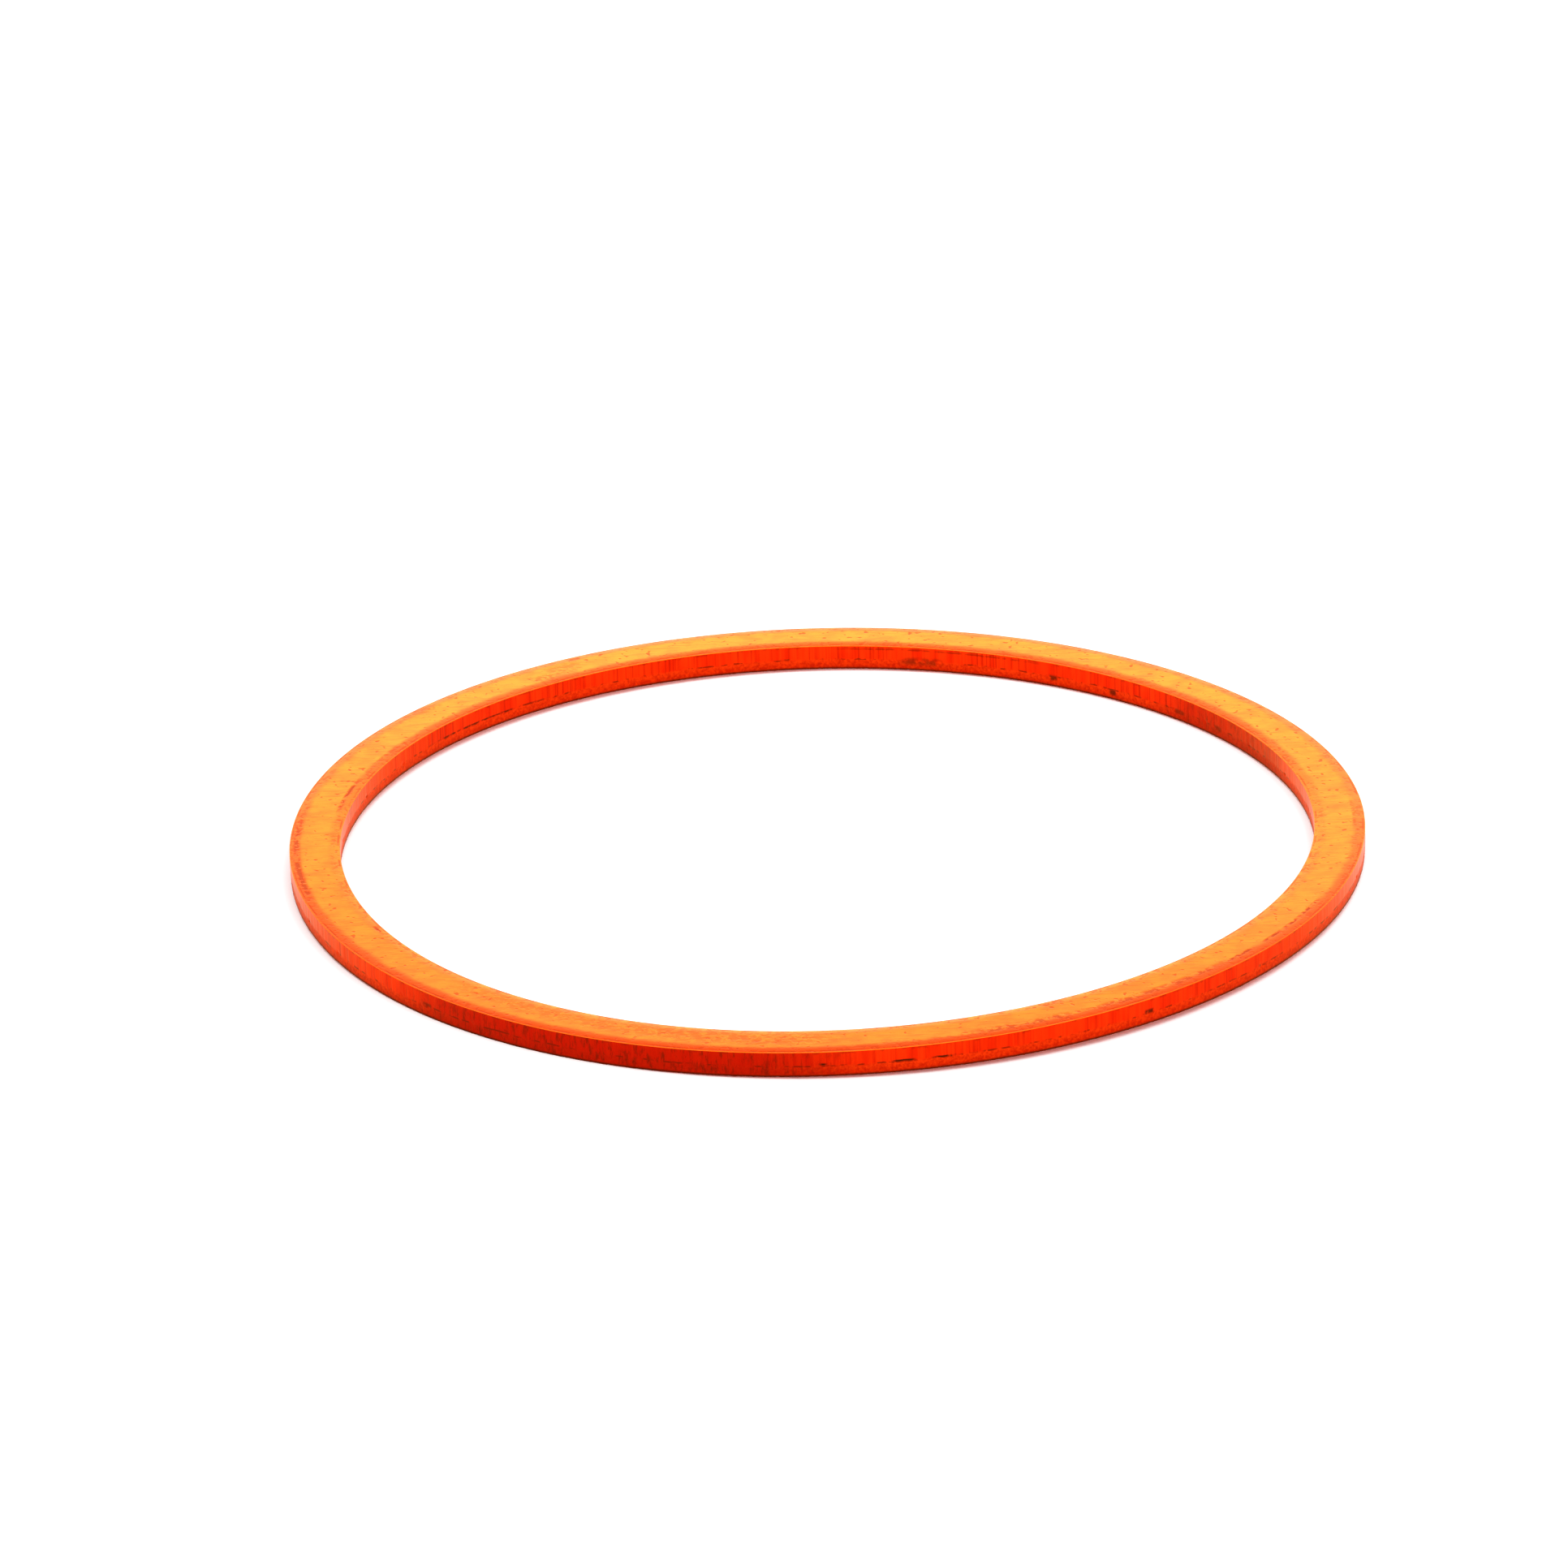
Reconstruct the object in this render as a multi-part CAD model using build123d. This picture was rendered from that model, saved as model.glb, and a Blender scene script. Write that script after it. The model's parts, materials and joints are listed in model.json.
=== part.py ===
from build123d import *
import os

# Flat copper sealing ring, blanked from sheet in one stroke of a compound die.
# All lengths are in millimetres. Z is the ring's axis, and Z = 0 is its lower face.

# Driving dimensions
outer_diameter = 99.8
inner_diameter = 90.4
thickness = 2.5

# Die roll: the upper face bends down into both cut walls and ends in a crisp corner.
roll_width = 1.1
roll_depth = 0.10
corner_radius = 0.06

# Cut walls: a straight burnished land, and below it the torn zone, which leans into the metal.
torn_height = 1.05
torn_lean = 0.03
edge_break = 0.03

outer_radius = outer_diameter / 2
inner_radius = inner_diameter / 2
outward = 1
inward = -1


def cut_wall(wall_radius, metal_side):
    """Half-section line of one cut wall, from the lower face up to the flat of the upper face.

    metal_side is inward where the metal lies towards the axis, and outward where it lies away.
    """
    foot = (wall_radius + metal_side * (torn_lean + edge_break), 0)
    torn_bottom = (wall_radius + metal_side * torn_lean, edge_break)
    land_bottom = (wall_radius, torn_height)
    corner = (wall_radius, thickness - roll_depth)
    flat_end = (wall_radius + metal_side * roll_width, thickness)
    wall = Polyline(foot, torn_bottom, land_bottom, corner)
    roll = TangentArc(flat_end, corner, tangent=(-metal_side, 0))
    return wall + roll


def half_section():
    """The ring's section on one side of the axis, with X as the radius and Y as the height."""
    outer_wall = cut_wall(outer_radius, inward)
    inner_wall = cut_wall(inner_radius, outward)
    foot_inset = torn_lean + edge_break
    lower_face = Line((inner_radius + foot_inset, 0), (outer_radius - foot_inset, 0))
    upper_face = Line((inner_radius + roll_width, thickness), (outer_radius - roll_width, thickness))
    section = make_face(outer_wall + upper_face + inner_wall + lower_face)
    corner_height = thickness - roll_depth
    corners = [v for v in section.vertices() if abs(v.Y - corner_height) < corner_radius / 2]
    return fillet(corners, radius=corner_radius)


def sealing_ring():
    """The whole ring: one solid, the half-section turned once about Z."""
    return revolve(Plane.XZ * half_section(), axis=Axis.Z)


os.makedirs("parts", exist_ok=True)
export_step(sealing_ring(), "parts/sealing_ring.step")
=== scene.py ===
import bpy
import json
import math
from mathutils import Matrix, Vector


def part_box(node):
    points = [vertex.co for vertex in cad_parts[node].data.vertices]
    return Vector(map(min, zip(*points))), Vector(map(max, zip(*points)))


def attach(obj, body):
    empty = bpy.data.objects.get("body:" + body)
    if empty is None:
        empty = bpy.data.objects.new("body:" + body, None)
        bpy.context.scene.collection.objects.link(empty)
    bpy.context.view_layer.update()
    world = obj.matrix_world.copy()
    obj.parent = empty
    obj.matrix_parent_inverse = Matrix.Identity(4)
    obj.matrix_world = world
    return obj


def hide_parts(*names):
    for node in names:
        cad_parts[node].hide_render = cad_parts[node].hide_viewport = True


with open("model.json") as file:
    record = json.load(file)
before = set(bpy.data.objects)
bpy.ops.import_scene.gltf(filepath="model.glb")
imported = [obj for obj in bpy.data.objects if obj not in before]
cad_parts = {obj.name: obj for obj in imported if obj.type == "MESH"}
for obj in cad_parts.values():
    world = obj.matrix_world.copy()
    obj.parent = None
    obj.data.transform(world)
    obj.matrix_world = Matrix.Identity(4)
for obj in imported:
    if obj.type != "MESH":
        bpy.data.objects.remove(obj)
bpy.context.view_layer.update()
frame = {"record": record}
mm = 0.001

# The ring's sizes in millimetres: the first three come from the CAD model
ringNode = "sealing_ring"
lowCorner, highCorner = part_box(ringNode)
mounts = {mount["name"]: mount for mount in frame["record"]["mounts"]}
ring = {
    "outerRadius": mounts["rim"]["dims"]["r_mm"],
    "innerRadius": mounts["bore"]["dims"]["r_mm"],
    "thickness": (highCorner.z - lowCorner.z) / mm,
    "rollWidth": 1.1,           # the rolled upper edge
    "rollDepth": 0.10,
    "cornerRadius": 0.06,
    "tornHeight": 1.05,         # how far up the wall the sheet tore
    "tornLean": 0.03,
    "edgeBreak": 0.03,
}
midRadius = (ring["outerRadius"] + ring["innerRadius"]) / 2
halfWidth = (ring["outerRadius"] - ring["innerRadius"]) / 2
cornerHeight = ring["thickness"] - ring["rollDepth"]

# Node kinds and settings that come up often
calc, vector = "ShaderNodeMath", "ShaderNodeVectorMath"
noise, spread = "ShaderNodeTexNoise", "ShaderNodeMapRange"
mix, split = "ShaderNodeMix", "ShaderNodeSeparateXYZ"
add, minus, times = {"operation": "ADD"}, {"operation": "SUBTRACT"}, {"operation": "MULTIPLY"}
over, timesAdd = {"operation": "DIVIDE"}, {"operation": "MULTIPLY_ADD"}
absolute, most = {"operation": "ABSOLUTE"}, {"operation": "MAXIMUM"}
above, below = {"operation": "GREATER_THAN"}, {"operation": "LESS_THAN"}
soft, colours = {"interpolation_type": "SMOOTHSTEP"}, {"data_type": "RGBA"}


def linear(hexColour):
    # sRGB hex to the linear colour that shaders take
    parts = [int(hexColour[i:i + 2], 16) / 255 for i in (1, 3, 5)]
    return tuple(c / 12.92 if c <= 0.04045 else ((c + 0.055) / 1.055) ** 2.4 for c in parts) + (1.0,)


def addNode(tree, kind, settings=None, links=None):
    # links gives each input, by name or number, an output to join or a plain value
    node = tree.nodes.new(kind)
    for name, value in (settings or {}).items():
        setattr(node, name, value)
    for key, value in (links or {}).items():
        if isinstance(value, bpy.types.NodeSocket):
            tree.links.new(value, node.inputs[key])
        else:
            node.inputs[key].default_value = value
    return node


# How the ring is meshed, and what blanking and handling left on it, in millimetres; real score marks
# and torn grit are near 0.1 apart, too fine to show, so both are drawn coarser
blank = {
    "columns": 1440,            # one every 0.22 mm around the rim
    "faceRows": 6,
    "footRows": 5,
    "rollRows": 8,
    "landRows": 7,
    "tornRows": 8,
    "Drag Pitch": 0.55,         # the die's vertical score marks on the straight land
    "Drag Depth": 0.014,
    "Torn Grain": 0.34,
    "Torn Depth": 0.035,
    "Torn Wander": 0.13,        # how far the top of the torn band strays
    "Pit Depth": 0.09,
    "Face Wave": 0.016,
    "wanderScale": 0.45,        # the last three are waves in a millimetre
    "pitScale": 1.1,
    "faceWaveScale": 0.22,
}
# A soft ring never lies quite flat: (waves in a turn, height, phase in degrees)
warpWaves = [(2, 0.242, 162), (3, 0.057, 285)]
restGap = 0.002                 # between the floor and the ring's lowest point
# Knocks in the walls: angle from +X in degrees, height, radius, depth
nicks = [
    {"wall": "innerRadius", "angle": 52.0, "height": 0.75, "size": 0.55, "depth": 0.12},
    {"wall": "outerRadius", "angle": 268.3, "height": 1.02, "size": 0.50, "depth": 0.10},
    {"wall": "outerRadius", "angle": 277.0, "height": 0.98, "size": 0.45, "depth": 0.10},
    {"wall": "outerRadius", "angle": 280.5, "height": 0.98, "size": 0.50, "depth": 0.11},
    {"wall": "outerRadius", "angle": 282.6, "height": 1.00, "size": 0.35, "depth": 0.09},
    {"wall": "outerRadius", "angle": 304.5, "height": 1.00, "size": 0.40, "depth": 0.10},
    {"wall": "outerRadius", "angle": 321.0, "height": 0.92, "size": 0.40, "depth": 0.09},
]


def wallPoints(wallRadius, metalSide):
    # one cut wall from its foot to the flat of the face, as (radius, height)
    lean, foot = ring["tornLean"], ring["edgeBreak"]
    tornTop, corner = ring["tornHeight"], ring["cornerRadius"]
    points = [(lean + foot, 0), (lean, foot)]
    for i in range(1, blank["tornRows"] + 1):
        t = i / blank["tornRows"]
        points.append((lean * (1 - t), foot + t * (tornTop - foot)))
    landTop = cornerHeight - corner * 0.6
    for i in range(1, blank["landRows"] + 1):
        t = 1 - (1 - i / blank["landRows"]) ** 1.3      # rows lie closer towards the corner
        points.append((0, tornTop + t * (landTop - tornTop)))
    # the crisp corner, then the roll, an arc that meets the face without a step
    rollRadius = (ring["rollWidth"] ** 2 + ring["rollDepth"] ** 2) / (2 * ring["rollDepth"])
    points.append((corner * 0.2, cornerHeight + corner * 0.05))
    sweep = math.asin((ring["rollWidth"] - corner * 0.7) / rollRadius)
    for i in range(blank["rollRows"], -1, -1):
        turn = sweep * i / blank["rollRows"]
        points.append((ring["rollWidth"] - rollRadius * math.sin(turn),
                       ring["thickness"] - rollRadius * (1 - math.cos(turn))))
    return [(wallRadius + metalSide * inset, height) for inset, height in points]


def between(start, end, count):
    # evenly spaced points strictly between two points
    steps = [i / (count + 1) for i in range(1, count + 1)]
    return [(start[0] + (end[0] - start[0]) * t, start[1] + (end[1] - start[1]) * t) for t in steps]


def makeProfile():
    outer = wallPoints(ring["outerRadius"], -1)
    inner = wallPoints(ring["innerRadius"], 1)
    loop = outer + between(outer[-1], inner[-1], blank["faceRows"])
    loop += inner[::-1] + between(inner[0], outer[0], blank["footRows"])
    curve = bpy.data.curves.new("ringProfile", "CURVE")
    spline = curve.splines.new("POLY")
    spline.points.add(len(loop) - 1)
    # the sweep turns the profile's Y downwards, so heights go in negative and the loop runs backwards
    for point, (radius, height) in zip(spline.points, reversed(loop)):
        point.co = (radius - midRadius, -height, 0, 1)
    spline.use_cyclic_u = True
    profile = bpy.data.objects.new("ringProfile", curve)
    bpy.context.scene.collection.objects.link(profile)
    print("profile points:", len(loop))
    return profile


def warpHeight(angle):
    swings = [height * math.sin(waves * angle + math.radians(phase)) for waves, height, phase in warpWaves]
    return sum(swings)


def fromAxis(tree, place):
    # the place without its height, and its distance from the ring's axis
    flat = addNode(tree, vector, times, {0: place, 1: (1, 1, 0)}).outputs[0]
    radius = addNode(tree, vector, {"operation": "LENGTH"}, {0: flat}).outputs["Value"]
    return flat, radius


def awayFrom(tree, value, middle):
    # how far a value is from a middle one, to either side
    off = addNode(tree, calc, minus, {0: value, 1: middle}).outputs[0]
    return addNode(tree, calc, absolute, {0: off}).outputs[0]


def heightOverTear(tree, flat, height, stray, tornHeight):
    # the torn band's upper edge wanders; the mesh and the wall's material both take it from here
    wander = addNode(tree, noise, None,
                     {"Vector": flat, "Scale": blank["wanderScale"], "Detail": 4.0}).outputs[0]
    wander = addNode(tree, calc, timesAdd, {0: wander, 1: 2.0, 2: -1.0}).outputs[0]
    tornTop = addNode(tree, calc, timesAdd, {0: wander, 1: stray, 2: tornHeight}).outputs[0]
    return addNode(tree, calc, minus, {0: height, 1: tornTop}).outputs[0]


ringInputs = ("Path Radius", "Rest Lift", "Torn Height", "Drag Pitch", "Drag Depth", "Torn Grain",
              "Torn Depth", "Torn Wander", "Pit Depth", "Face Wave")


def makeRingTree(faceMaterial, wallMaterial):
    tree = bpy.data.node_groups.new("blankedRing", "GeometryNodeTree")
    panel = tree.interface
    panel.new_socket("Geometry", in_out="OUTPUT", socket_type="NodeSocketGeometry")
    panel.new_socket("Profile", in_out="INPUT", socket_type="NodeSocketObject")
    panel.new_socket("Columns", in_out="INPUT", socket_type="NodeSocketInt")
    for name in ringInputs:
        panel.new_socket(name, in_out="INPUT", socket_type="NodeSocketFloat")
    given = addNode(tree, "NodeGroupInput").outputs
    placeType = {"data_type": "FLOAT_VECTOR"}

    # the section swept round the circle; sheetPlace keeps each point's place before any wear
    path = addNode(tree, "GeometryNodeCurvePrimitiveCircle", None,
                   {"Resolution": given["Columns"], "Radius": given["Path Radius"]})
    section = addNode(tree, "GeometryNodeObjectInfo", None, {"Object": given["Profile"]})
    swept = addNode(tree, "GeometryNodeCurveToMesh", None,
                    {"Curve": path.outputs["Curve"], "Profile Curve": section.outputs["Geometry"]})
    place = addNode(tree, "GeometryNodeInputPosition").outputs[0]
    marked = addNode(tree, "GeometryNodeStoreNamedAttribute", {**placeType, "domain": "POINT"},
                     {"Geometry": swept.outputs[0], "Name": "sheetPlace", "Value": place})

    # where a point is on the section
    axes = addNode(tree, split, None, {0: place}).outputs
    flat, radius = fromAxis(tree, place)
    angle = addNode(tree, calc, {"operation": "ARCTAN2"}, {0: axes["Y"], 1: axes["X"]}).outputs[0]
    fromMid = awayFrom(tree, radius, given["Path Radius"])
    onWall = addNode(tree, spread, soft, {"Value": fromMid, "From Min": halfWidth - 0.14,
                                          "From Max": halfWidth - 0.10}).outputs[0]
    belowRoll = addNode(tree, spread, soft, {"Value": axes["Z"], "From Min": cornerHeight - 0.04,
                                             "From Max": cornerHeight - 0.16}).outputs[0]
    onWall = addNode(tree, calc, times, {0: onWall, 1: belowRoll}).outputs[0]
    overTear = heightOverTear(tree, flat, axes["Z"], given["Torn Wander"], given["Torn Height"])
    fade = 0.06                 # the tear and the land blend over this, up and down
    torn = addNode(tree, spread, soft,
                   {"Value": overTear, "From Min": fade, "From Max": -fade}).outputs[0]
    land = addNode(tree, spread, soft,
                   {"Value": overTear, "From Min": -fade, "From Max": fade}).outputs[0]

    # score marks run straight down the land, and the torn band is coarse in every direction
    dragScale = addNode(tree, calc, over, {0: 1.0, 1: given["Drag Pitch"]}).outputs[0]
    drag = addNode(tree, noise, None, {"Vector": flat, "Scale": dragScale, "Detail": 2.0}).outputs[0]
    drag = addNode(tree, spread, soft, {"Value": drag, "From Min": 0.65, "From Max": 0.35}).outputs[0]
    drag = addNode(tree, calc, times, {0: drag, 1: land}).outputs[0]
    depth = addNode(tree, calc, times, {0: drag, 1: given["Drag Depth"]}).outputs[0]
    tornScale = addNode(tree, calc, over, {0: 1.0, 1: given["Torn Grain"]}).outputs[0]
    grain = addNode(tree, noise, None, {"Vector": place, "Scale": tornScale, "Detail": 3.0,
                                        "Roughness": 0.7}).outputs[0]
    grain = addNode(tree, spread, None, {"Value": grain, "From Min": 0.7, "From Max": 0.3}).outputs[0]
    grain = addNode(tree, calc, times, {0: grain, 1: torn}).outputs[0]
    depth = addNode(tree, calc, timesAdd, {0: grain, 1: given["Torn Depth"], 2: depth}).outputs[0]

    # pits pulled out where the tear begins, and the knocks
    pits = addNode(tree, noise, None,
                   {"Vector": place, "Scale": blank["pitScale"], "Detail": 1.0}).outputs[0]
    pits = addNode(tree, spread, soft, {"Value": pits, "From Min": 0.62, "From Max": 0.72}).outputs[0]
    nearTear = addNode(tree, calc, absolute, {0: overTear}).outputs[0]
    nearTear = addNode(tree, spread, soft,
                       {"Value": nearTear, "From Min": 0.22, "From Max": 0.05}).outputs[0]
    pits = addNode(tree, calc, times, {0: pits, 1: nearTear}).outputs[0]
    depth = addNode(tree, calc, timesAdd, {0: pits, 1: given["Pit Depth"], 2: depth}).outputs[0]
    for nick in nicks:
        turn, wallRadius = math.radians(nick["angle"]), ring[nick["wall"]]
        centre = (wallRadius * math.cos(turn), wallRadius * math.sin(turn), nick["height"])
        away = addNode(tree, vector, {"operation": "DISTANCE"}, {0: place, 1: centre}).outputs["Value"]
        dent = addNode(tree, spread, soft, {"Value": away, "From Min": nick["size"], "From Max": 0.0,
                                            "To Max": nick["depth"]}).outputs[0]
        depth = addNode(tree, calc, add, {0: depth, 1: dent}).outputs[0]
    depth = addNode(tree, calc, times, {0: depth, 1: onWall}).outputs[0]

    # the upper face is only nearly flat
    onTop = addNode(tree, spread, soft, {"Value": axes["Z"], "From Min": cornerHeight,
                                         "From Max": ring["thickness"] - 0.02}).outputs[0]
    wave = addNode(tree, noise, None,
                   {"Vector": place, "Scale": blank["faceWaveScale"], "Detail": 2.0}).outputs[0]
    wave = addNode(tree, calc, times, {0: wave, 1: onTop}).outputs[0]
    depth = addNode(tree, calc, timesAdd, {0: wave, 1: given["Face Wave"], 2: depth}).outputs[0]

    # wear goes into the metal, and the whole ring waves up and down
    normal = addNode(tree, "GeometryNodeInputNormal").outputs[0]
    inwards = addNode(tree, calc, times, {0: depth, 1: -1.0}).outputs[0]
    worn = addNode(tree, vector, {"operation": "SCALE"}, {0: normal, "Scale": inwards}).outputs[0]
    lift = given["Rest Lift"]
    for waves, height, phase in warpWaves:
        start = math.radians(phase)
        swing = addNode(tree, calc, timesAdd, {0: angle, 1: float(waves), 2: start}).outputs[0]
        swing = addNode(tree, calc, {"operation": "SINE"}, {0: swing}).outputs[0]
        lift = addNode(tree, calc, timesAdd, {0: swing, 1: height, 2: lift}).outputs[0]
    lifted = addNode(tree, "ShaderNodeCombineXYZ", None, {"Z": lift}).outputs[0]
    offset = addNode(tree, vector, add, {0: worn, 1: lifted}).outputs[0]
    moved = addNode(tree, "GeometryNodeSetPosition", None,
                    {"Geometry": marked.outputs[0], "Offset": offset})
    metres = addNode(tree, "GeometryNodeTransform", None,
                     {"Geometry": moved.outputs[0], "Scale": (mm, mm, mm)})
    smooth = addNode(tree, "GeometryNodeSetShadeSmooth", None, {"Geometry": metres.outputs[0]})

    # the walls take their own material
    whole = addNode(tree, "GeometryNodeRealizeInstances", None, {"Geometry": smooth.outputs[0]})
    before = addNode(tree, "GeometryNodeInputNamedAttribute", placeType, {"Name": "sheetPlace"}).outputs[0]
    height = addNode(tree, split, None, {0: before}).outputs["Z"]
    radius = fromAxis(tree, before)[1]
    fromMid = awayFrom(tree, radius, given["Path Radius"])
    isWall = addNode(tree, calc, above, {0: fromMid, 1: halfWidth - 0.12}).outputs[0]
    isLow = addNode(tree, calc, below, {0: height, 1: cornerHeight - 0.05}).outputs[0]
    isWall = addNode(tree, calc, times, {0: isWall, 1: isLow}).outputs[0]
    done = addNode(tree, "GeometryNodeSetMaterial", None,
                   {"Geometry": whole.outputs[0], "Material": faceMaterial})
    done = addNode(tree, "GeometryNodeSetMaterial", None,
                   {"Geometry": done.outputs[0], "Selection": isWall, "Material": wallMaterial})
    addNode(tree, "NodeGroupOutput", None, {"Geometry": done.outputs[0]})
    return tree


def startMaterial(name, graze):
    # a copper with its shader and sheetPlace, a place on the ring in millimetres
    material = bpy.data.materials.new(name)
    material.use_nodes = True
    tree = material.node_tree
    shader = tree.nodes["Principled BSDF"]
    shader.inputs["Metallic"].default_value = 1.0
    shader.inputs["Specular Tint"].default_value = linear(graze)
    place = addNode(tree, "ShaderNodeAttribute", {"attribute_name": "sheetPlace"}).outputs["Vector"]
    return material, tree, shader, place


def markMask(tree, heading, across, marks):
    # each mark runs round the ring for its length and across the surface for its width
    total = 0.0
    for angle, middle, length, width, strength in marks:
        turn, reach = math.radians(angle), length / 2 / midRadius
        along = addNode(tree, vector, {"operation": "DISTANCE"},
                        {0: heading, 1: (math.cos(turn), math.sin(turn), 0)}).outputs["Value"]
        along = addNode(tree, spread, soft,
                        {"Value": along, "From Min": reach, "From Max": reach * 0.5}).outputs[0]
        off = awayFrom(tree, across, middle)
        off = addNode(tree, spread, soft, {"Value": off, "From Min": width / 2, "From Max": width * 0.1,
                                           "To Max": strength}).outputs[0]
        both = addNode(tree, calc, times, {0: along, 1: off}).outputs[0]
        total = addNode(tree, calc, most, {0: total, 1: both}).outputs[0]
    return total


# Cold-rolled sheet is satin, with a faint straight grain; the die burnishes the roll, whose deeper colour
# is partly that burnish and partly painted shade.
# Real rolling lines are some 0.03 mm apart, too fine to show, so the grain is drawn ten times coarser
faceFinish = {
    "light": "#FF7A0C",
    "deep": "#F86204",
    "roll": "#EE3A02",
    # the corner's lighter colour is partly edge wear and partly a painted highlight
    "corner": "#FA6A18",
    # the colour of stains and marks, and of the painted shade at the front of the face
    "stainAndShade": "#B62E02",
    "graze": "#FFF4D2",
    "mottle": 2.0,              # millimetres from one mottle to the next, and so on below
    "grainPitch": 0.3,
    "fleckPitch": 0.45,
    "pitPitch": 0.6,
    "grainTurn": 62,            # degrees from +X to the rolling direction
    "grainDraw": 0.16,          # the smaller, the longer the grain is drawn out along it
    "rollReach": 1.3,
    # the change in these two depths from front to back is painted shade, not burnish
    "rimBurnishAndShade": (0.6, 0.92),    # how deep the roll's colour goes, where it is lightest and deepest,
    "boreBurnishAndShade": (0.15, 0.85),  # at the rim and at the bore
    "roughness": 0.34,
    "markRoughness": 0.49,
    "markRelief": -3.6,         # how far marks go in, beside the grain's height of 1
    "reliefDepth": 0.012,
}
# Scuffs on the upper face, and two broad patches of painted shade at the front (238 and 258 degrees):
# (angle from +X in degrees, radius, length, width, strength), in millimetres
faceScuffsAndShade = [
    (35.0, 49.5, 3.0, 0.5, 0.5),
    (118.8, 49.2, 1.8, 1.0, 0.75),
    (121.2, 47.6, 4.6, 3.4, 0.4),
    (124.6, 46.6, 3.4, 2.6, 0.5),
    (140.0, 49.0, 3.6, 1.8, 0.4),
    (154.5, 46.0, 10.0, 0.7, 0.6),
    (166.2, 46.1, 10.0, 0.6, 1.0),
    (184.0, 49.25, 27.0, 1.0, 0.9),
    (205.8, 45.85, 2.2, 0.6, 1.0),
    (212.0, 45.6, 8.0, 0.4, 0.5),
    # the next two are broad, faint patches darkening the front of the face: painted shade, not scuffs
    (238.0, 46.9, 30.0, 3.6, 0.32),
    (258.0, 47.0, 26.0, 4.4, 0.42),
    (251.0, 47.2, 1.1, 1.0, 0.8),
    (256.4, 47.6, 1.0, 1.1, 0.9),
    (279.0, 49.1, 20.0, 1.2, 0.45),
    (290.5, 48.8, 12.0, 1.6, 0.8),
    (295.2, 45.9, 2.8, 1.1, 0.7),
    (307.0, 48.9, 20.0, 1.4, 0.8),
    (318.8, 48.9, 5.0, 0.7, 1.0),
    (324.7, 48.9, 3.6, 0.65, 1.0),
    (328.6, 48.9, 3.2, 0.6, 1.0),
    (333.2, 48.85, 6.0, 0.6, 1.0),
    (0.0, 48.9, 8.0, 0.5, 0.5),
]


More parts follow.
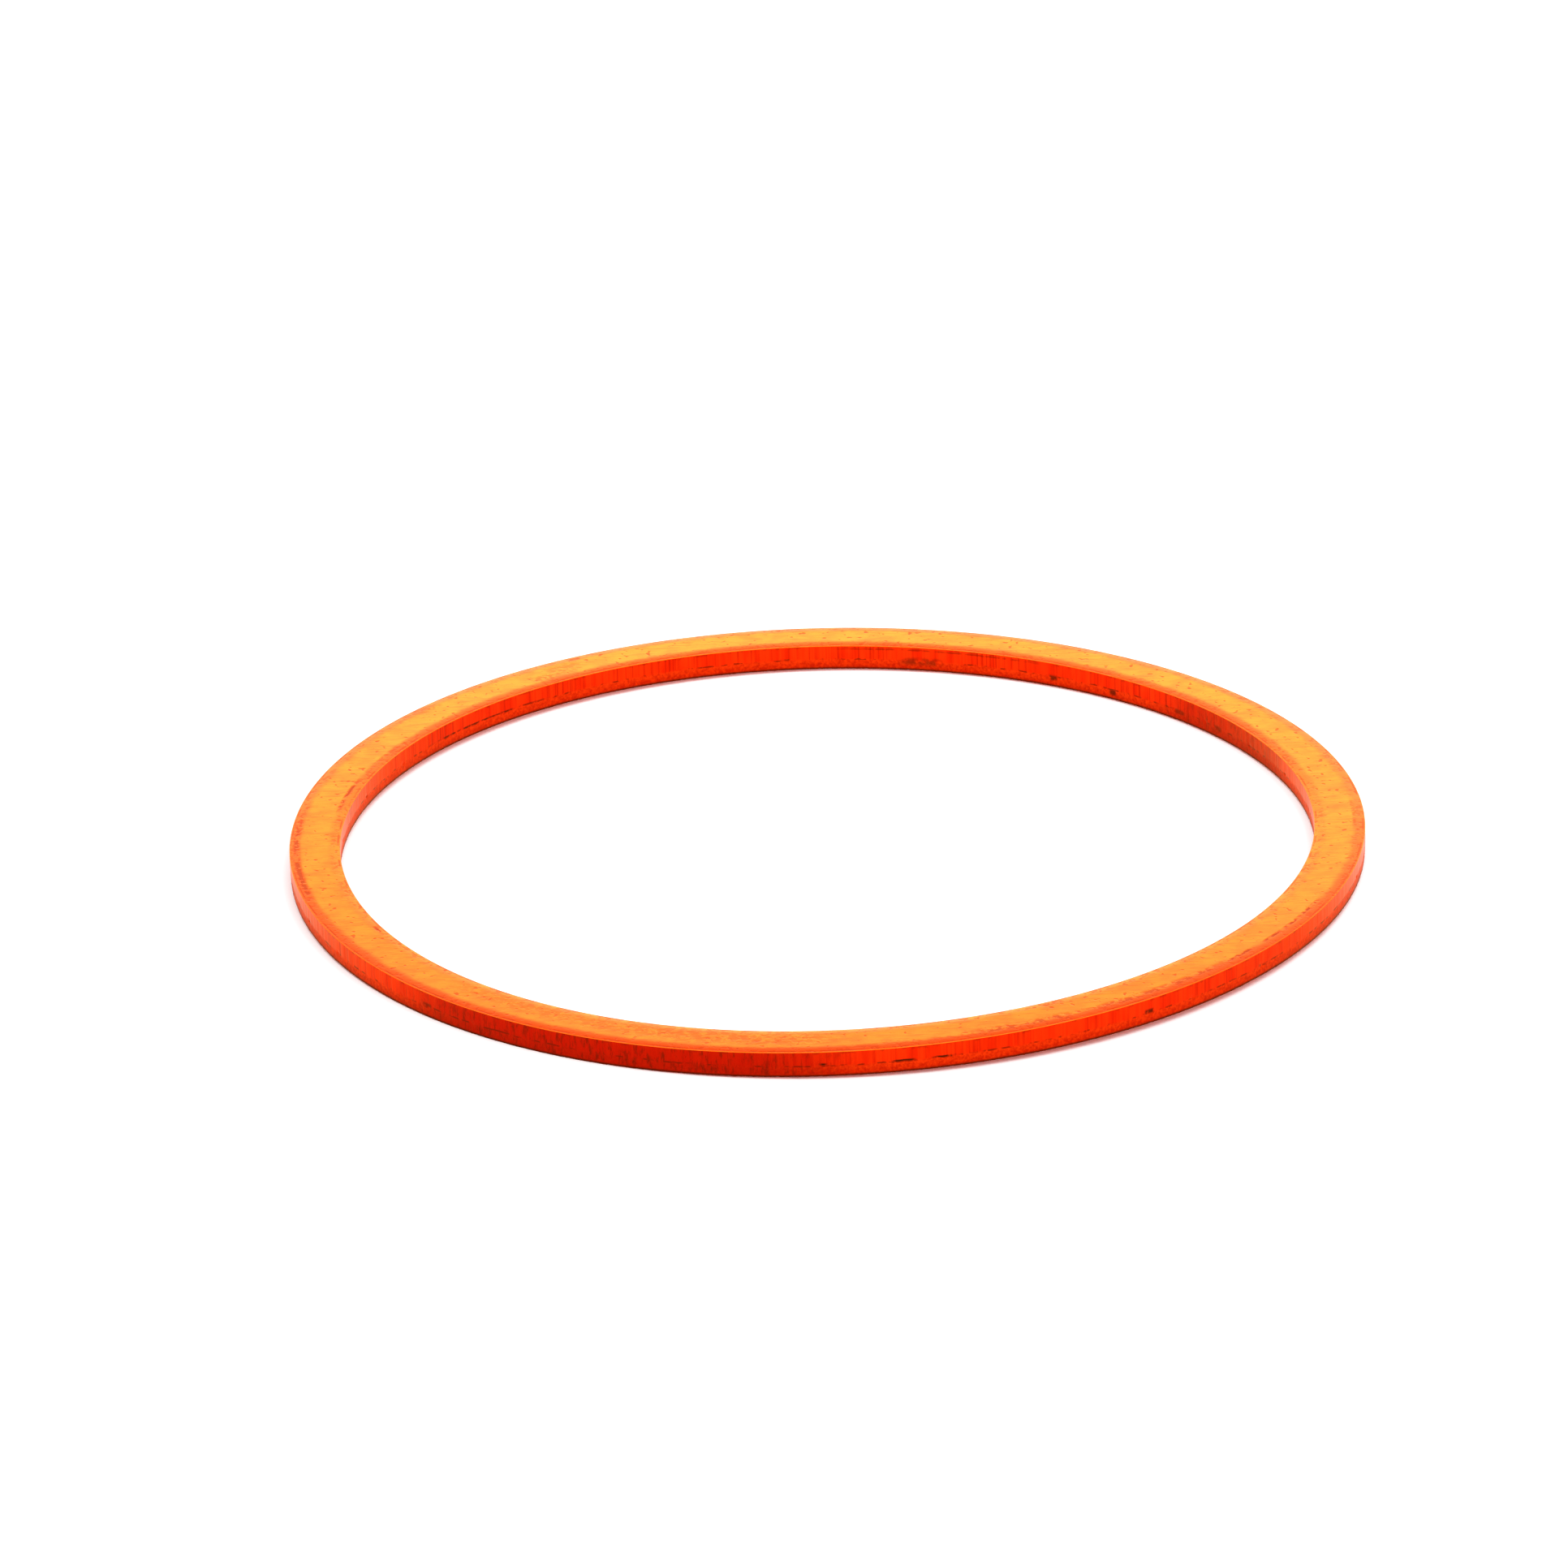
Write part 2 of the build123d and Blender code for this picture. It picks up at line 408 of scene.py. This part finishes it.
def rolledFace():
    look = faceFinish
    material, tree, shader, place = startMaterial("coldRolledCopper", look["graze"])
    flat, radius = fromAxis(tree, place)
    fromMid = awayFrom(tree, radius, midRadius)
    heading = addNode(tree, vector, {"operation": "NORMALIZE"}, {0: flat}).outputs[0]
    height = addNode(tree, split, None, {0: place}).outputs["Z"]

    # mottling left by handling, and the grain, which is drawn out along the rolling direction
    mottle = addNode(tree, noise, None, {"Vector": place, "Scale": 1 / look["mottle"], "Detail": 4.0,
                                         "Roughness": 0.6}).outputs[0]
    cloud = addNode(tree, spread, soft, {"Value": mottle, "From Min": 0.36, "From Max": 0.68,
                                         "To Max": 0.7}).outputs[0]
    colour = addNode(tree, mix, colours,
                     {0: cloud, 6: linear(look["light"]), 7: linear(look["deep"])}).outputs[2]
    turned = addNode(tree, "ShaderNodeMapping", None,
                     {"Vector": place, "Rotation": (0, 0, math.radians(-look["grainTurn"])),
                      "Scale": (look["grainDraw"] / look["grainPitch"], 1 / look["grainPitch"], 1)})
    turned = turned.outputs[0]
    grain = addNode(tree, noise, None, {"Vector": turned, "Scale": 1.0, "Detail": 4.0}).outputs[0]
    streak = addNode(tree, spread, soft, {"Value": grain, "From Min": 0.46, "From Max": 0.72,
                                          "To Max": 0.42}).outputs[0]
    colour = addNode(tree, mix, colours, {0: streak, 6: colour, 7: linear(look["roll"])}).outputs[2]

    # the burnished roll begins raggedly; its colour is painted deeper at the front of the rim and at the
    # back of the hole, which is painted shade
    ragged = addNode(tree, calc, timesAdd, {0: mottle, 1: 0.7, 2: fromMid}).outputs[0]
    roll = addNode(tree, spread, soft, {"Value": ragged, "From Min": halfWidth - look["rollReach"] + 0.3,
                                        "From Max": halfWidth - 0.3}).outputs[0]
    back = addNode(tree, split, None, {0: heading}).outputs["Y"]
    lightest, deepest = look["rimBurnishAndShade"]
    rimBurnishAndShade = addNode(tree, spread, soft, {"Value": back, "From Min": 0.1, "From Max": -0.5,
                                            "To Min": lightest, "To Max": deepest}).outputs[0]
    lightest, deepest = look["boreBurnishAndShade"]
    boreBurnishAndShade = addNode(tree, spread, soft, {"Value": back, "From Min": -0.1, "From Max": 0.6,
                                             "To Min": lightest, "To Max": deepest}).outputs[0]
    rollDepth = addNode(tree, spread, None, {"Value": radius, "From Min": ring["innerRadius"],
                                             "From Max": ring["outerRadius"], "To Min": boreBurnishAndShade,
                                             "To Max": rimBurnishAndShade}).outputs[0]
    roll = addNode(tree, calc, times, {0: roll, 1: rollDepth}).outputs[0]
    colour = addNode(tree, mix, colours, {0: roll, 6: colour, 7: linear(look["roll"])}).outputs[2]

    # dark flecks along the roll, and the broken line that ends it under the worn corner
    fleck = addNode(tree, noise, None,
                    {"Vector": place, "Scale": 1 / look["fleckPitch"], "Detail": 3.0}).outputs[0]
    spotted = addNode(tree, spread, soft, {"Value": fleck, "From Min": 0.52, "From Max": 0.62}).outputs[0]
    band = addNode(tree, spread, soft, {"Value": fromMid, "From Min": halfWidth - look["rollReach"],
                                        "From Max": halfWidth - 0.5, "To Max": 0.45}).outputs[0]
    spotted = addNode(tree, calc, times, {0: spotted, 1: band}).outputs[0]
    line = awayFrom(tree, fromMid, halfWidth - 0.2)
    line = addNode(tree, spread, soft, {"Value": line, "From Min": 0.12, "From Max": 0.03,
                                        "To Max": 0.7}).outputs[0]
    broken = addNode(tree, spread, soft, {"Value": mottle, "From Min": 0.44, "From Max": 0.56}).outputs[0]
    line = addNode(tree, calc, times, {0: line, 1: broken}).outputs[0]
    dark = addNode(tree, calc, most, {0: spotted, 1: line}).outputs[0]

    # scuffs and small pits, and the two broad patches of painted shade at the front of the face
    onTop = addNode(tree, calc, above, {0: height, 1: cornerHeight}).outputs[0]
    scuffAndShade = markMask(tree, heading, radius, faceScuffsAndShade)
    broken = addNode(tree, spread, soft, {"Value": fleck, "From Min": 0.42, "From Max": 0.54,
                                          "To Min": 0.15}).outputs[0]
    scuffAndShade = addNode(tree, calc, times, {0: scuffAndShade, 1: broken}).outputs[0]
    scuffAndShade = addNode(tree, calc, times, {0: scuffAndShade, 1: onTop}).outputs[0]
    dark = addNode(tree, calc, most, {0: dark, 1: scuffAndShade}).outputs[0]
    pit = addNode(tree, noise, None,
                  {"Vector": place, "Scale": 1 / look["pitPitch"], "Detail": 1.0}).outputs[0]
    pit = addNode(tree, spread, soft, {"Value": pit, "From Min": 0.64, "From Max": 0.73,
                                       "To Max": 0.7}).outputs[0]
    dark = addNode(tree, calc, most, {0: dark, 1: pit}).outputs[0]
    colour = addNode(tree, mix, colours, {0: dark, 6: colour, 7: linear(look["stainAndShade"])}).outputs[2]
    # a lighter line along the outer corner: partly edge wear, partly a painted highlight
    corner = addNode(tree, spread, soft, {"Value": fromMid, "From Min": halfWidth - 0.09,
                                          "From Max": halfWidth - 0.04}).outputs[0]
    colour = addNode(tree, mix, colours, {0: corner, 6: colour, 7: linear(look["corner"])}).outputs[2]
    tree.links.new(colour, shader.inputs["Base Color"])

    rough = addNode(tree, spread, None, {"Value": dark, "To Min": look["roughness"],
                                         "To Max": look["markRoughness"]}).outputs[0]
    tree.links.new(rough, shader.inputs["Roughness"])
    coarse = addNode(tree, calc, times, {0: dark, 1: fleck}).outputs[0]
    relief = addNode(tree, calc, timesAdd, {0: coarse, 1: look["markRelief"], 2: grain}).outputs[0]
    bump = addNode(tree, "ShaderNodeBump", None,
                   {"Height": relief, "Strength": 0.8, "Distance": look["reliefDepth"] * mm})
    tree.links.new(bump.outputs[0], shader.inputs["Normal"])
    print("material made:", material.name)
    return material


# The punch shears the upper wall smooth and scores it straight down; below that the sheet tears, which
# leaves it dull and coarse. Scores and grit are drawn two or three times coarser than they are, to show
wallFinish = {
    "bright": "#E62C04",
    "deep": "#D21E02",
    # the colour of score marks, and of the painted shade on darkened stretches of wall
    "scoreAndShade": "#A81002",
    "torn": "#E23506",
    "tornDeep": "#B81C02",
    # the colour of dark marks and of the foot, which is partly painted shade where the ring meets the
    # floor
    "foot": "#481404",
    "graze": "#FFE9C8",
    "scorePitch": 0.24,         # millimetres from one to the next, and so on below
    "bandPitch": 0.9,
    "patchPitch": 6.0,
    "grainPitch": 0.3,
    "tearPitch": 0.8,
    "gritPitch": 0.36,
    "bandDraw": 0.12,           # the smaller, the taller the bands and the grit are drawn
    "gritDraw": 0.3,
    "landRoughness": 0.28,
    "tornRoughness": 0.48,
    "reliefDepth": 0.025,
}
# Smudges and pulled-out spots on the walls: (angle, height, length, width, strength)
innerMarks = [
    (34.5, 0.95, 2.4, 0.9, 0.6),
    (41.2, 0.95, 1.8, 0.8, 0.6),
    (52.0, 0.72, 1.0, 0.9, 0.8),
    (60.5, 0.9, 1.2, 0.9, 0.8),
    (77.5, 0.95, 5.5, 1.2, 0.6),
    (136.0, 1.12, 19.0, 0.28, 0.9),
    (75.0, 2.1, 26.0, 0.3, 0.5),
]
outerMarks = [
    (222.8, 1.15, 1.4, 0.8, 0.7),
    (268.3, 1.2, 1.6, 0.35, 1.0),
    (277.0, 1.14, 2.4, 0.32, 1.0),
    (281.2, 1.1, 2.6, 0.34, 1.0),
    (304.5, 1.2, 1.3, 0.7, 0.9),
    (321.2, 1.1, 1.2, 0.5, 0.9),
]
# Stretches of painted shade along each wall
innerPaintedShade = [(31.0, 1.3, 26.0, 5.5, 0.65)]
outerPaintedShade = [(245.0, 1.3, 52.0, 5.5, 0.88)]


def shearedWall():
    look = wallFinish
    material, tree, shader, place = startMaterial("shearedCopper", look["graze"])
    flat, radius = fromAxis(tree, place)
    heading = addNode(tree, vector, {"operation": "NORMALIZE"}, {0: flat}).outputs[0]
    height = addNode(tree, split, None, {0: place}).outputs["Z"]

    # the land, with broad and fine score marks
    fine = addNode(tree, noise, None,
                   {"Vector": flat, "Scale": 1 / look["scorePitch"], "Detail": 2.0}).outputs[0]
    fine = addNode(tree, spread, soft, {"Value": fine, "From Min": 0.45, "From Max": 0.72}).outputs[0]
    patch = addNode(tree, noise, None,
                    {"Vector": place, "Scale": 1 / look["patchPitch"], "Detail": 1.0}).outputs[0]
    patch = addNode(tree, spread, soft, {"Value": patch, "From Min": 0.35, "From Max": 0.65,
                                         "To Min": 0.35, "To Max": 0.85}).outputs[0]
    fine = addNode(tree, calc, times, {0: fine, 1: patch}).outputs[0]
    tall = addNode(tree, "ShaderNodeMapping", None,
                   {"Vector": place, "Scale": (1, 1, look["bandDraw"])}).outputs[0]
    broad = addNode(tree, noise, None,
                    {"Vector": tall, "Scale": 1 / look["bandPitch"], "Detail": 3.0}).outputs[0]
    band = addNode(tree, spread, soft, {"Value": broad, "From Min": 0.35, "From Max": 0.68}).outputs[0]
    land = addNode(tree, mix, colours,
                   {0: band, 6: linear(look["bright"]), 7: linear(look["deep"])}).outputs[2]
    land = addNode(tree, mix, colours, {0: fine, 6: land, 7: linear(look["scoreAndShade"])}).outputs[2]

    # the torn band, deeper towards its foot
    grain = addNode(tree, noise, None, {"Vector": place, "Scale": 1 / look["grainPitch"], "Detail": 4.0,
                                        "Roughness": 0.65}).outputs[0]
    coarse = addNode(tree, spread, soft, {"Value": grain, "From Min": 0.34, "From Max": 0.68}).outputs[0]
    sink = addNode(tree, spread, soft,
                   {"Value": height, "From Min": ring["tornHeight"], "From Max": 0.15}).outputs[0]
    sink = addNode(tree, calc, timesAdd, {0: sink, 1: 0.6, 2: coarse}).outputs[0]
    sink = addNode(tree, spread, None, {"Value": sink, "From Max": 1.3}).outputs[0]
    torn = addNode(tree, mix, colours,
                   {0: sink, 6: linear(look["torn"]), 7: linear(look["tornDeep"])}).outputs[2]

    # the land gives way to the torn band, with a broken dark line where the tear begins
    overTear = heightOverTear(tree, flat, height, blank["Torn Wander"], ring["tornHeight"])
    isLand = addNode(tree, spread, soft,
                     {"Value": overTear, "From Min": -0.22, "From Max": 0.16}).outputs[0]
    colour = addNode(tree, mix, colours, {0: isLand, 6: torn, 7: land}).outputs[2]
    line = addNode(tree, calc, absolute, {0: overTear}).outputs[0]
    line = addNode(tree, spread, soft, {"Value": line, "From Min": 0.13, "From Max": 0.02}).outputs[0]
    tear = addNode(tree, noise, None,
                   {"Vector": place, "Scale": 1 / look["tearPitch"], "Detail": 3.0}).outputs[0]
    broken = addNode(tree, spread, soft, {"Value": tear, "From Min": 0.48, "From Max": 0.62,
                                          "To Max": 0.7}).outputs[0]
    dark = addNode(tree, calc, times, {0: line, 1: broken}).outputs[0]

    # stretches of painted shade, speckled with grit, and smudges, each on its own wall
    tall = addNode(tree, "ShaderNodeMapping", None,
                   {"Vector": place, "Scale": (1, 1, look["gritDraw"])}).outputs[0]
    grit = addNode(tree, noise, None, {"Vector": tall, "Scale": 1 / look["gritPitch"], "Detail": 4.0,
                                       "Roughness": 0.7}).outputs[0]
    grit = addNode(tree, spread, soft, {"Value": grit, "From Min": 0.46, "From Max": 0.68,
                                        "To Max": 0.7}).outputs[0]
    ragged = addNode(tree, spread, soft, {"Value": tear, "From Min": 0.34, "From Max": 0.54}).outputs[0]
    for side, marks, shades in ((below, innerMarks, innerPaintedShade), (above, outerMarks, outerPaintedShade)):
        onSide = addNode(tree, calc, side, {0: radius, 1: midRadius}).outputs[0]
        shade = markMask(tree, heading, height, shades)
        shade = addNode(tree, calc, times, {0: shade, 1: onSide}).outputs[0]
        colour = addNode(tree, mix, colours, {0: shade, 6: colour, 7: linear(look["scoreAndShade"])}).outputs[2]
        speck = addNode(tree, calc, times, {0: shade, 1: grit}).outputs[0]
        dark = addNode(tree, calc, most, {0: dark, 1: speck}).outputs[0]
        spot = markMask(tree, heading, height, marks)
        spot = addNode(tree, calc, times, {0: spot, 1: onSide}).outputs[0]
        spot = addNode(tree, calc, times, {0: spot, 1: ragged}).outputs[0]
        dark = addNode(tree, calc, most, {0: dark, 1: spot}).outputs[0]

    # painted shade under the corner, and the foot painted dark: partly the torn metal's colour, partly
    # painted shade where the ring meets the floor
    under = addNode(tree, spread, soft, {"Value": height, "From Min": cornerHeight - 0.34,
                                         "From Max": cornerHeight - 0.1, "To Max": 0.5}).outputs[0]
    under = addNode(tree, calc, times, {0: under, 1: broken}).outputs[0]
    dark = addNode(tree, calc, most, {0: dark, 1: under}).outputs[0]
    foot = addNode(tree, spread, soft, {"Value": height, "From Min": 0.32, "From Max": 0.08,
                                        "To Max": 0.9}).outputs[0]
    dark = addNode(tree, calc, most, {0: dark, 1: foot}).outputs[0]
    colour = addNode(tree, mix, colours, {0: dark, 6: colour, 7: linear(look["foot"])}).outputs[2]
    tree.links.new(colour, shader.inputs["Base Color"])

    rough = addNode(tree, spread, None, {"Value": isLand, "To Min": look["tornRoughness"],
                                         "To Max": look["landRoughness"]}).outputs[0]
    tree.links.new(rough, shader.inputs["Roughness"])
    dull = addNode(tree, calc, minus, {0: 1.0, 1: isLand}).outputs[0]
    rise = addNode(tree, calc, times, {0: grain, 1: dull}).outputs[0]
    rise = addNode(tree, calc, timesAdd, {0: fine, 1: -0.5, 2: rise}).outputs[0]
    bump = addNode(tree, "ShaderNodeBump", None,
                   {"Height": rise, "Strength": 0.7, "Distance": look["reliefDepth"] * mm})
    tree.links.new(bump.outputs[0], shader.inputs["Normal"])
    print("material made:", material.name)
    return material


def makeRing():
    profile = makeProfile()
    maker = bpy.data.objects.new("ringMaker", bpy.data.meshes.new("ringMaker"))
    bpy.context.scene.collection.objects.link(maker)
    tree = makeRingTree(rolledFace(), shearedWall())
    steps = 720
    lowest = min(warpHeight(2 * math.pi * i / steps) for i in range(steps))
    sizes = {"Profile": profile, "Columns": blank["columns"], "Path Radius": midRadius,
             "Rest Lift": restGap - lowest, "Torn Height": ring["tornHeight"]}
    sizes.update({name: blank[name] for name in ringInputs if name in blank})
    modifier = maker.modifiers.new("blankedRing", "NODES")
    modifier.node_group = tree
    sockets = {item.name: item.identifier for item in tree.interface.items_tree if item.in_out == "INPUT"}
    for name, value in sizes.items():
        modifier[sockets[name]] = value
    finished = maker.evaluated_get(bpy.context.evaluated_depsgraph_get())
    mesh = bpy.data.meshes.new_from_object(finished)
    mesh.name = "copper_ring"
    piece = bpy.data.objects.new("copper_ring", mesh)
    bpy.context.scene.collection.objects.link(piece)
    bpy.data.objects.remove(maker)
    bpy.data.objects.remove(profile)
    print("ring made:", len(mesh.vertices), "points,", len(mesh.polygons), "faces")
    return piece


copperRing = makeRing()
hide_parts(ringNode)
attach(copperRing, "root")


# A pale floor under a white sky, a soft box overhead and a low card of light close behind the ring
studio = {
    "floorSize": 3.0,
    "floor": "#FAFAFA",
    "floorRoughness": 0.9,
    "sky": "#FFFFFF",
    "skyLevel": 1.09,
    "lamps": [
        # name, degrees round from +X, degrees up, metres away, size across and down, watts,
        # and whether it throws a shadow
        ("softBox", 310, 72, 0.80, (0.90, 0.90), 4.4, True),
        ("lowCard", 85, 12.5, 0.18, (0.54, 0.102), 0.285, False),
    ],
}


def makeStudio():
    bpy.ops.mesh.primitive_plane_add(size=studio["floorSize"], location=(0, 0, 0))
    floor = bpy.context.object
    floor.name = "floor"
    material = bpy.data.materials.new("paleFloor")
    material.use_nodes = True
    shader = material.node_tree.nodes["Principled BSDF"]
    shader.inputs["Base Color"].default_value = linear(studio["floor"])
    shader.inputs["Roughness"].default_value = studio["floorRoughness"]
    shader.inputs["Specular IOR Level"].default_value = 0.0
    floor.data.materials.append(material)

    world = bpy.data.worlds.new("studio")
    world.use_nodes = True
    background = world.node_tree.nodes["Background"]
    background.inputs["Color"].default_value = linear(studio["sky"])
    background.inputs["Strength"].default_value = studio["skyLevel"]
    bpy.context.scene.world = world

    for name, turn, up, distance, size, watts, shadow in studio["lamps"]:
        turn, up = math.radians(turn), math.radians(up)
        toLamp = Vector((math.cos(turn) * math.cos(up), math.sin(turn) * math.cos(up), math.sin(up)))
        place = toLamp * distance
        light = bpy.data.lights.new(name, "AREA")
        light.shape = "RECTANGLE"
        light.size, light.size_y = size
        light.energy = watts
        light.use_shadow = shadow
        lamp = bpy.data.objects.new(name, light)
        lamp.location = place
        lamp.rotation_euler = (-place).to_track_quat("-Z", "Y").to_euler()
        lamp.visible_camera = False
        bpy.context.scene.collection.objects.link(lamp)
    print("studio made:", len(studio["lamps"]), "lamps")


# The camera looks down at the ring from the front, through a long lens, tipped a little
view = {
    "elevation": 22.96,         # degrees
    "tip": 1.69,
    "distance": 21.16,          # this and the next two in outer radii of the ring
    "aimRight": -0.0814,
    "aimUp": 0.1352,
    "lens": 260.9,
}


def makeCamera():
    unit = ring["outerRadius"] * mm
    elevation, tip = math.radians(view["elevation"]), math.radians(view["tip"])
    forward = Vector((0, math.cos(elevation), -math.sin(elevation)))
    level = Vector((0, math.sin(elevation), math.cos(elevation)))
    right = Vector((math.cos(tip), 0, 0)) - level * math.sin(tip)
    up = Vector((math.sin(tip), 0, 0)) + level * math.cos(tip)
    data = bpy.data.cameras.new("camera")
    data.lens = view["lens"]
    camera = bpy.data.objects.new("camera", data)
    bpy.context.scene.collection.objects.link(camera)
    place = (right * view["aimRight"] + up * view["aimUp"] - forward * view["distance"]) * unit
    camera.matrix_world = Matrix.Translation(place) @ Matrix((right, up, -forward)).transposed().to_4x4()
    bpy.context.scene.camera = camera
    print("camera placed")


makeStudio()
makeCamera()
bpy.context.scene.view_settings.view_transform = "Standard"
